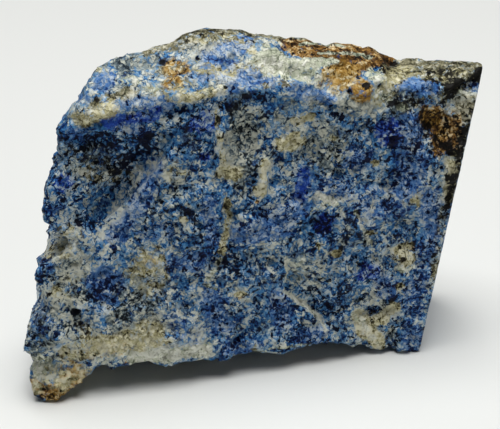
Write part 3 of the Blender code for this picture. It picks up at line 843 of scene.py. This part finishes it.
def mineral_fields(points, normals):
    """For each mineral, the part of the grains that it makes up at each point."""
    sawn = sawn_share(points, normals)
    seen = seen_share(normals, MINERALS_PAST_RIM) * (1.0 - SAWN_OVER_SEEN * sawn)
    shifts = wander(points, PATCH_WANDER, PATCH_SEEDS)
    places = photo_place(points) * PIXEL
    fields = {}
    for name, mineral in MINERALS.items():
        missing = np.ones(len(points))
        for patch in mineral.patches.values():
            missing *= 1.0 - patch.share * soft_inside(patch_reach(places, shifts, patch)) * seen
        spread = noise_at(points, mineral.wavelength, mineral.seed)
        spread = smoothstep((spread + mineral.bias) / SPREAD_EDGE)
        missing *= 1.0 - mineral.share * spread * (1.0 - SEEN_OVER_SPREAD * seen)
        fields[name] = 1.0 - missing
    # Light and dark places become one field of painted light and shade, together with lighter and darker
    # grains.
    fields["tone_and_painted_light"] = fields.pop("light") - DARK_AND_SHADE_WEIGHT * fields.pop("dark")
    # Each pit gets painted shade round it.
    for pit in PITS.values():
        fields["tone_and_painted_light"] -= PIT_SHADE_WEIGHT * smoothstep(PIT_SHADE_REACH - round_reach(places, pit)) * seen
    calcite = soft_inside(np.linalg.norm((points - CALCITE_AT) / CALCITE_RADII, axis=1)) * (1.0 - seen)
    for name, part in CALCITE_PARTS.items():
        fields[name] = np.maximum(fields[name], part * calcite)
    for name in ("grey", "olive"):
        fields[name] *= 1.0 - BLUE_OVER_ROCK * fields["vivid"]
    fields["calm"] = np.maximum(fields["calm"], SAWN_CALM * sawn)
    fields["sawn"] = sawn
    return fields


def nudge(points):
    """Shifts the skin in the photograph's own plane, to bring its outline and its ridges to their places."""
    places = photo_place(points) * PIXEL
    for spot in NUDGES.values():
        shift = spot.right * RIGHT - spot.down * UP
        points = points + soft_inside(round_reach(places, spot))[:, None] * shift
    return points


def named_relief(points, normals):
    """The height of the pits, steps and swells that the photograph shows."""
    places = photo_place(points) * PIXEL
    height = np.zeros(len(points))
    for swell in SWELLS.values():
        height += swell.height * np.clip(1.0 - oval_reach(places, swell) ** 2, 0.0, 1.0) ** ROUNDING
    wandered = places + wander(points, STEP_WANDER, STEP_SEEDS)
    for step in STEPS.values():
        signed, passed = distance_to_line(wandered, np.array(step.line) * PIXEL)
        fall = smoothstep(signed / step.wall + 0.5) * np.clip(1.0 - signed / step.fade, 0.0, 1.0) ** ROUNDING
        height -= step.drop * fall * smoothstep(passed / STEP_ENDS) * smoothstep((1.0 - passed) / STEP_ENDS)
    for pit in PITS.values():
        height -= pit.depth * np.clip(PIT_LIP - round_reach(places, pit) ** 2, 0.0, 1.0)
    return height * seen_share(normals, RELIEF_PAST_RIM)


def carve(points, normals):
    """Moves the skin in and out by its named relief, its fracture facets and lumps, but not on the flats."""
    height = sum(facets(points, *layer) for layer in FACETS)
    height += sum(lump * noise_at(points, wavelength, shift) for lump, wavelength, shift in LUMPS)
    broad = smoothstep(np.abs(normals @ FORWARD) / OUTLINE_WIDTH)
    height = np.minimum(height * (OUTLINE_PART + (1.0 - OUTLINE_PART) * broad), OUTLINE_RISE + broad)
    height *= 1.0 - UPWARD_PART * smoothstep((normals[:, 2] - UPWARD_START) / UPWARD_WIDTH)
    height += named_relief(points, normals)
    from_saw = (SAW_POINT - points) @ SAW_FACING
    free = smoothstep(from_saw / FLAT_REACH) * smoothstep(points[:, 2] / FLAT_REACH)
    moved = points + normals * (height * free)[:, None]
    over = np.clip((moved - SAW_POINT) @ SAW_FACING, 0.0, None)
    moved -= over[:, None] * SAW_FACING
    moved[:, 2] = np.clip(moved[:, 2], 0.0, None)
    return moved


def linear(red, green, blue):
    """A colour given as it shows on a screen, from 0 to 255, as Blender's own values."""
    parts = np.array((red, green, blue)) / 255.0
    return tuple(np.where(parts <= 0.04045, parts / 12.92, ((parts + 0.055) / 1.055) ** 2.4)) + (1.0,)


# Each mineral's colours from its darkest grain to its lightest, as a screen shows them. LAZURITE is the blue
# rock that lies where no other mineral does, and FLAKES the pale rock in its veils and flakes.
LAZURITE = ((0, 9, 38), (6, 48, 108), (44, 106, 164), (84, 140, 186), (140, 168, 194), (200, 210, 212))
FLAKES = ((22, 25, 24), (64, 71, 68), (118, 127, 117), (158, 164, 144), (196, 198, 174), (230, 229, 208))
COLOURS = {
    "vivid": ((2, 12, 50), (16, 52, 114), (56, 104, 166), (92, 134, 186), (130, 158, 198), (182, 197, 212)),
    "deep": ((1, 6, 44), (4, 24, 102), (16, 54, 156), (48, 92, 180), (108, 142, 196), (180, 196, 214)),
    "grey": ((10, 15, 20), (44, 58, 68), (96, 112, 120), (140, 152, 152), (176, 182, 172), (208, 210, 196)),
    "olive": ((14, 13, 8), (52, 50, 36), (102, 100, 76), (144, 140, 112), (178, 172, 144), (206, 202, 178)),
    "rust": ((14, 9, 4), (52, 34, 15), (108, 76, 36), (152, 113, 58), (192, 160, 102), (224, 205, 162)),
    "ochre": ((24, 16, 5), (80, 56, 18), (140, 104, 40), (174, 138, 70), (202, 176, 120), (228, 212, 172)),
    "cream": (
        (36, 33, 20), (106, 101, 70), (162, 156, 118), (194, 188, 146), (216, 210, 172), (232, 228, 200)
    ),
    "pale": (
        (52, 57, 46), (120, 127, 109), (170, 177, 154), (200, 205, 181), (221, 223, 203), (238, 239, 225)
    ),
}
STOPS = (0.0, 0.2, 0.42, 0.6, 0.8, 1.0)

# How much each random part of the grain lightens or darkens it. The clouds do so about their middle, a half.
CLOUDS = {"coarse": 0.2, "fine": 0.3, "blotch": 1.1, "mottle": 0.8, "sugar": 0.86}
MARKS = {"flakes": 0.32, "specks": -0.7, "seams": -0.3}
# The grain's middle and contrast, how far that varies from cloudy places to busy ones, and how much light and
# dark places, with their painted light and shade, add to the grain, its specks and its flakes.
MIDDLE = 0.475
CONTRAST = 1.8
UNREST = 2.6
UNREST_START = -0.25
TONE_IN_GRAIN = 0.24
TONE_IN_SPECKS = -0.15
TONE_IN_FLAKES = 0.12
VEIL_PART = 0.36
FLAKE_PART = 0.5
# A mineral takes the grains whose random choice is under its share.
CHOICE = {"coarse": 0.36, "fine": 0.42, "patch": 1.2}
CHOICE_START = -0.57
CHOICE_LEAST = 0.2
CHOICE_SHARPNESS = 3.0
# The bump of the grains, its depth in millimetres and the skin's roughness. The saw cut has less of both.
BUMPS = {"coarse": 1.0, "fine": 1.0, "specks": -2.0, "flakes": 1.0}
BUMP_DEPTH = 0.2
BUMP_LOST_BY_SAW = 0.85
ROUGHNESS = 0.6
ROUGHNESS_LOST_BY_SAW = 0.15
SHINE = 0.15


class Graph:
    """Adds nodes to a material, each fed by sockets or plain values."""

    def __init__(self, material):
        material.use_nodes = True
        self.tree = material.node_tree
        self.shader = self.tree.nodes["Principled BSDF"]

    def add(self, kind, inputs=(), **settings):
        made = self.tree.nodes.new(kind)
        for name, value in settings.items():
            setattr(made, name, value)
        for name, value in dict(inputs).items():
            if isinstance(value, bpy.types.NodeSocket):
                self.tree.links.new(value, made.inputs[name])
            else:
                made.inputs[name].default_value = value
        return made

    def maths(self, operation, *values):
        return self.add("ShaderNodeMath", enumerate(values), operation=operation).outputs[0]

    def vector(self, operation, *values):
        return self.add("ShaderNodeVectorMath", enumerate(values), operation=operation).outputs[0]

    def weighed(self, parts, weights, start):
        """A start and some parts, each times its weight, in one sum."""
        for name, weight in weights.items():
            start = self.maths("MULTIPLY_ADD", parts[name], weight, start)
        return start

    def mix(self, factor, first, second):
        return self.add("ShaderNodeMix", {0: factor, 6: first, 7: second}, data_type="RGBA").outputs[2]

    def field(self, name):
        return self.add("ShaderNodeAttribute", attribute_name=name).outputs["Fac"]

    def noise(self, vector, wavelength, detail, output="Fac"):
        inputs = {"Vector": vector, "Scale": 1.0 / wavelength, "Detail": detail, "Roughness": 0.6}
        return self.add("ShaderNodeTexNoise", inputs).outputs[output]

    def over(self, value, start, width):
        """0 where a value is under its start, rising to 1 over a width."""
        inputs = {0: value, 1: start, 2: start + width}
        return self.add("ShaderNodeMapRange", inputs, interpolation_type="SMOOTHSTEP").outputs[0]

    def split(self, colour):
        return self.add("ShaderNodeSeparateColor", {0: colour}).outputs

    def cells(self, vector, size):
        """Grains of about one size, with three random values for each."""
        made = self.add("ShaderNodeTexVoronoi", {"Vector": vector, "Scale": 1.0 / size})
        return self.split(made.outputs["Color"])

    def seams(self, vector, size, start, width):
        """Lines between grains of about one size: 1 on a line, falling to 0 over a width."""
        inputs = {"Vector": vector, "Scale": 1.0 / size}
        edges = self.add("ShaderNodeTexVoronoi", inputs, feature="DISTANCE_TO_EDGE").outputs["Distance"]
        return self.maths("SUBTRACT", 1.0, self.over(edges, start, width))

    def ramp(self, value, colours):
        made = self.add("ShaderNodeValToRGB", {0: value})
        elements = made.color_ramp.elements
        while len(elements) < len(colours):
            elements.new(0.5)
        for element, position, colour in zip(elements, STOPS, colours):
            element.position = position
            element.color = linear(*colour)
        return made.outputs["Color"]

    def feed(self, name, socket):
        self.tree.links.new(socket, self.shader.inputs[name])


def stone_material():
    """Grains in the minerals' colours. One value tells how light each is, and every colour ramp reads it."""
    material = bpy.data.materials.new("lapis")
    graph = Graph(material)
    tone_and_painted_light = graph.field("tone_and_painted_light")
    sawn = graph.field("sawn")
    place = graph.vector("MULTIPLY", graph.add("ShaderNodeTexCoord").outputs["Object"], (1.0 / MM,) * 3)
    ripple = graph.noise(place, wavelength=1.3, detail=2.0, output="Color")
    ripple = graph.vector("SUBTRACT", ripple, (0.5, 0.5, 0.5))
    bent = graph.vector("MULTIPLY_ADD", ripple, (1.3, 1.3, 1.3), place)
    elsewhere = graph.vector("ADD", bent, (31.0, 47.0, 59.0))

    coarse = graph.cells(bent, size=1.4)
    fine = graph.cells(bent, size=0.62)
    patch = graph.split(graph.noise(bent, wavelength=1.8, detail=3.0, output="Color"))
    specks = graph.noise(bent, wavelength=1.15, detail=3.0)
    # Where there is painted shade, more grains become black specks.
    specks = graph.maths("MULTIPLY_ADD", tone_and_painted_light, TONE_IN_SPECKS, specks)
    specks = graph.over(specks, start=0.58, width=0.05)
    flakes = graph.noise(elsewhere, wavelength=1.1, detail=3.0)
    flakes = graph.maths("MULTIPLY_ADD", tone_and_painted_light, TONE_IN_FLAKES, flakes)
    flakes = graph.over(flakes, start=0.55, width=0.09)
    broken = graph.over(graph.noise(elsewhere, wavelength=3.0, detail=2.0), start=0.48, width=0.06)
    parts = {
        "coarse": coarse[0],
        "fine": fine[0],
        "blotch": graph.noise(place, wavelength=4.5, detail=3.0),
        "mottle": graph.noise(bent, wavelength=1.8, detail=3.0),
        "sugar": graph.noise(bent, wavelength=0.55, detail=2.0),
        "flakes": flakes,
        "specks": specks,
        "seams": graph.maths("MULTIPLY", graph.seams(bent, size=2.6, start=0.012, width=0.035), broken),
    }
    value = graph.weighed(parts, {**CLOUDS, **MARKS}, -0.5 * sum(CLOUDS.values()))
    unrest = graph.noise(elsewhere, wavelength=4.2, detail=2.0)
    unrest = graph.maths("MULTIPLY_ADD", unrest, UNREST, UNREST_START)
    contrast = graph.maths("MULTIPLY", graph.maths("SUBTRACT", CONTRAST, graph.field("calm")), unrest)
    value = graph.maths("MULTIPLY_ADD", value, contrast, MIDDLE)
    # The painted light and shade of the light and dark places lighten and darken the grains here.
    value = graph.maths("MULTIPLY_ADD", tone_and_painted_light, TONE_IN_GRAIN, value)

    veil = graph.over(graph.noise(place, wavelength=3.2, detail=3.0), start=0.5, width=0.14)
    pale_rock = graph.ramp(value, FLAKES)
    colour = graph.mix(graph.maths("MULTIPLY", veil, VEIL_PART), graph.ramp(value, LAZURITE), pale_rock)
    colour = graph.mix(graph.maths("MULTIPLY", flakes, FLAKE_PART), colour, pale_rock)
    for index, (name, stops) in enumerate(COLOURS.items()):
        channel = index % 3
        choice = {"coarse": coarse[channel], "fine": fine[channel], "patch": patch[channel]}
        choice = graph.maths("MAXIMUM", graph.weighed(choice, CHOICE, CHOICE_START), CHOICE_LEAST)
        share = graph.maths("SUBTRACT", graph.field(name), choice)
        share = graph.maths("MULTIPLY", share, CHOICE_SHARPNESS)
        share.node.use_clamp = True
        colour = graph.mix(share, colour, graph.ramp(value, stops))
    graph.feed("Base Color", colour)

    raised = {"coarse": coarse[2], "fine": fine[2], "specks": specks, "flakes": flakes}
    height = graph.weighed(raised, BUMPS, 0.0)
    strength = graph.maths("MULTIPLY_ADD", sawn, -BUMP_LOST_BY_SAW, 1.0)
    bump = graph.add("ShaderNodeBump", {"Height": height, "Strength": strength, "Distance": BUMP_DEPTH * MM})
    graph.feed("Normal", bump.outputs[0])
    graph.feed("Roughness", graph.maths("MULTIPLY_ADD", sawn, -ROUGHNESS_LOST_BY_SAW, ROUGHNESS))
    graph.shader.inputs["Specular IOR Level"].default_value = SHINE
    return material


def make_stone():
    stone = fine_skin()
    write(stone.data, nudge(read(stone.data)[0]))
    points, normals = read(stone.data)
    fields = mineral_fields(points, normals)
    write(stone.data, carve(points, normals))
    for name, values in fields.items():
        layer = stone.data.attributes.new(name, "FLOAT", "POINT")
        layer.data.foreach_set("value", values.astype(np.float32))
    stone.data.materials.clear()
    stone.data.materials.append(stone_material())
    stone.data.shade_smooth()
    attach(stone, "root")
    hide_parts(rock.name)


# The floor in metres, and its pale grey.
FLOOR_SIZE = 3.0
FLOOR_COLOUR = (0.8, 0.81, 0.785, 1.0)
FLOOR_ROUGHNESS = 0.7
WHITE = (1.0, 1.0, 1.0, 1.0)
ROOM_LIGHT = 0.02
# What the camera's view starts and ends at, in metres.
NEAR = 0.01
FAR = 10.0


def make_floor():
    bpy.ops.mesh.primitive_plane_add(size=FLOOR_SIZE)
    floor = bpy.context.object
    floor.name = "floor"
    material = bpy.data.materials.new("floor")
    material.use_nodes = True
    shader = material.node_tree.nodes["Principled BSDF"]
    shader.inputs["Base Color"].default_value = FLOOR_COLOUR
    shader.inputs["Roughness"].default_value = FLOOR_ROUGHNESS
    floor.data.materials.append(material)


def area_light(name, place, aim, size, power):
    light = bpy.data.lights.new(name, "AREA")
    light.shape = "RECTANGLE"
    light.size = size[0] * MM
    light.size_y = size[1] * MM
    light.energy = power
    lamp = put(name, light)
    lamp.location = Vector(place) * MM
    lamp.rotation_euler = (Vector(aim) - Vector(place)).to_track_quat("-Z", "Y").to_euler()


def make_camera():
    camera = bpy.data.cameras.new("camera")
    camera.lens = LENS
    camera.sensor_width = SENSOR
    camera.clip_start = NEAR
    camera.clip_end = FAR
    holder = put("camera", camera)
    holder.location = EYE * MM
    holder.rotation_euler = Vector(FORWARD).to_track_quat("-Z", "Y").to_euler()
    bpy.context.scene.camera = holder


def make_light():
    world = bpy.data.worlds.new("room")
    world.use_nodes = True
    world.node_tree.nodes["Background"].inputs["Color"].default_value = WHITE
    world.node_tree.nodes["Background"].inputs["Strength"].default_value = ROOM_LIGHT
    bpy.context.scene.world = world
    area_light("overhead", place=(-10, -10, 900), aim=(0, 10, 20), size=(620, 560), power=9.95)
    area_light("fill from the right", place=(620, -420, 330), aim=(20, 0, 20), size=(420, 320), power=0.3)
    bpy.context.scene.view_settings.view_transform = "Standard"


make_camera()
make_light()
make_floor()
make_stone()
